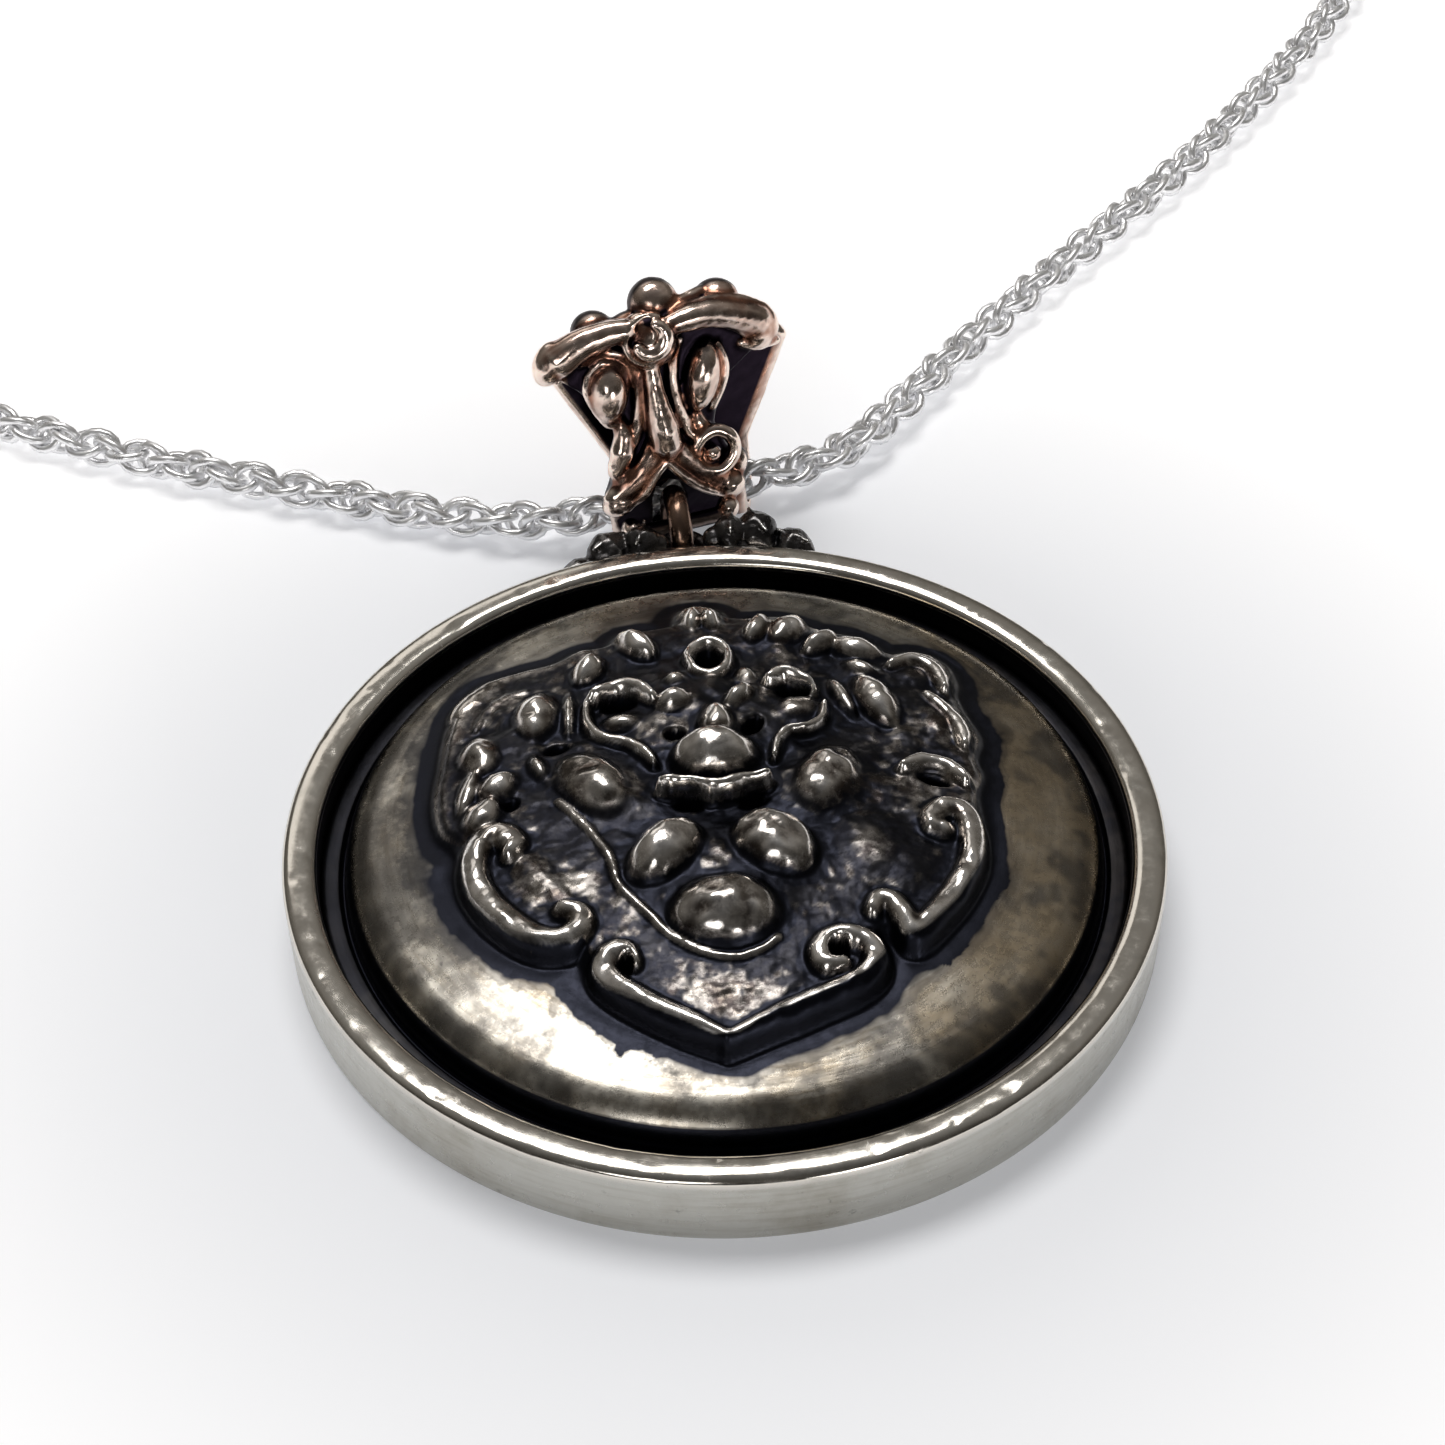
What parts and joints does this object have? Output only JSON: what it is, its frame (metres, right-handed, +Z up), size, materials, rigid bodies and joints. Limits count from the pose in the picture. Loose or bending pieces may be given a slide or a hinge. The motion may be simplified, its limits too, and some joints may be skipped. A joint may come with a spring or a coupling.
{
  "type": "medallion pendant on a chain",
  "caption": "Round domed medallion pendant with a scrolled mask ornament, a flared ornate bail on a jump ring and a rope chain closed into a neck loop.",
  "frame": {"origin": "middle of the frame's flat back, on the surface that the pendant lies on", "axes": "+Z up out of the ornament, +Y along the medallion's own upright towards the bail, +X to the right seen from above"},
  "size_m": [0.1288, 0.2034, 0.0117],
  "materials": {
    "aged_silver": "worn satin",
    "patinated_silver": "dark patina, polished high spots",
    "bronze_wire": "satin",
    "rose_bronze": "aged satin with dark recesses",
    "bright_silver": "polished"
  },
  "bodies": {
    "root": {"frame_ring": "aged_silver", "domed_plate": "patinated_silver", "jump_ring": "bronze_wire", "bail": "rose_bronze", "rope_chain": "bright_silver", "clasp": "bright_silver"}
  },
  "joints": []
}
